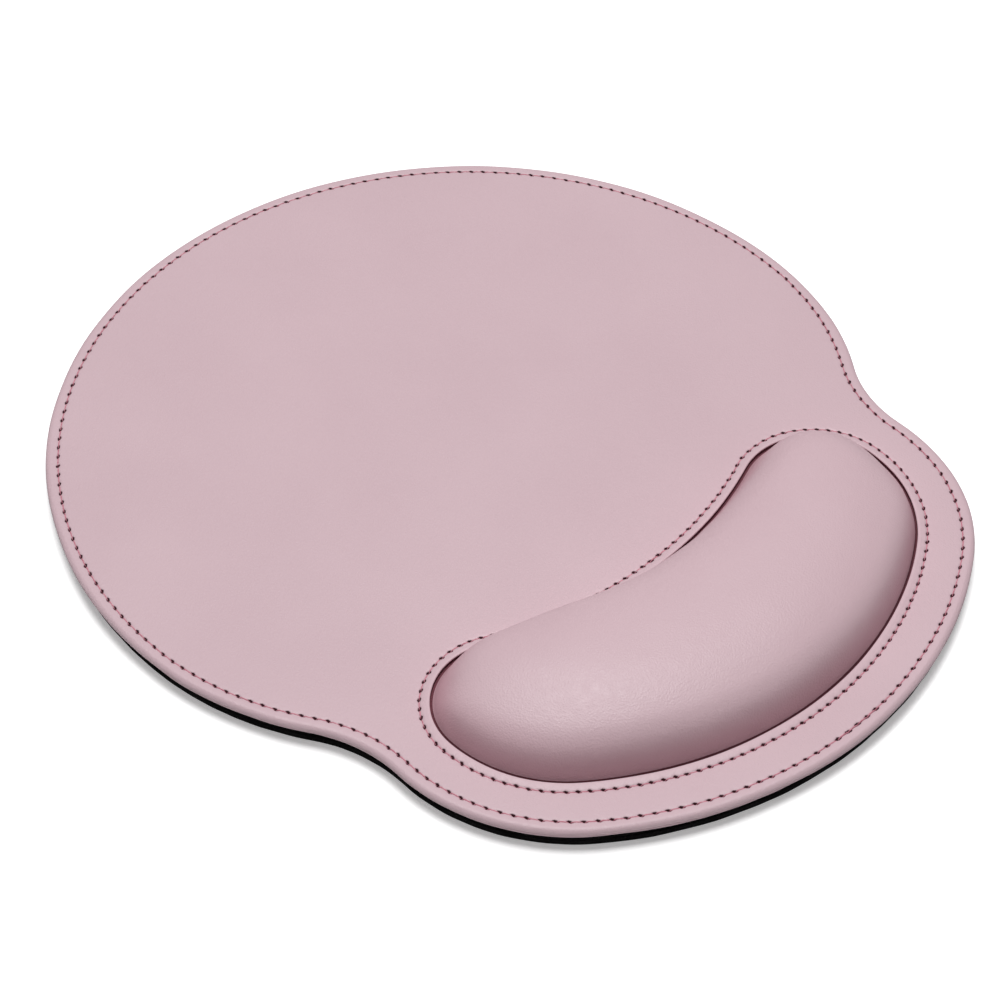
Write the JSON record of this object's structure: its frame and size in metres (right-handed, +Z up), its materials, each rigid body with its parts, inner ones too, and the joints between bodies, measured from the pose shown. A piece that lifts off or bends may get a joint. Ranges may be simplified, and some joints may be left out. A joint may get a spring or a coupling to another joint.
{
  "type": "mouse pad with wrist rest",
  "caption": "Stitched leatherette mouse pad: a round mousing area that narrows at a waist to a lobe, with a padded kidney-shaped wrist cushion on the user's side.",
  "frame": {"origin": "middle of the flat underside, on the plane of symmetry and halfway along the pad", "axes": "+X to the user's right, +Y away from the user, from the wrist cushion to the round mousing area, +Z up out of the pad"},
  "size_m": [0.226, 0.2578, 0.0252],
  "materials": {
    "leatherette": "satin",
    "cushion_foam": "matte",
    "board": "matte",
    "base_foam": "matte",
    "rubber": "matte",
    "thread": "matte"
  },
  "bodies": {
    "root": {"top_cover": "leatherette", "cushion_cover": "leatherette", "cushion_core": "cushion_foam", "backing_board": "board", "base_foam": "base_foam", "rubber_base": "rubber", "rim_needle_thread": "thread", "rim_bobbin_thread": "thread", "cushion_needle_thread": "thread", "cushion_bobbin_thread": "thread"}
  },
  "joints": []
}
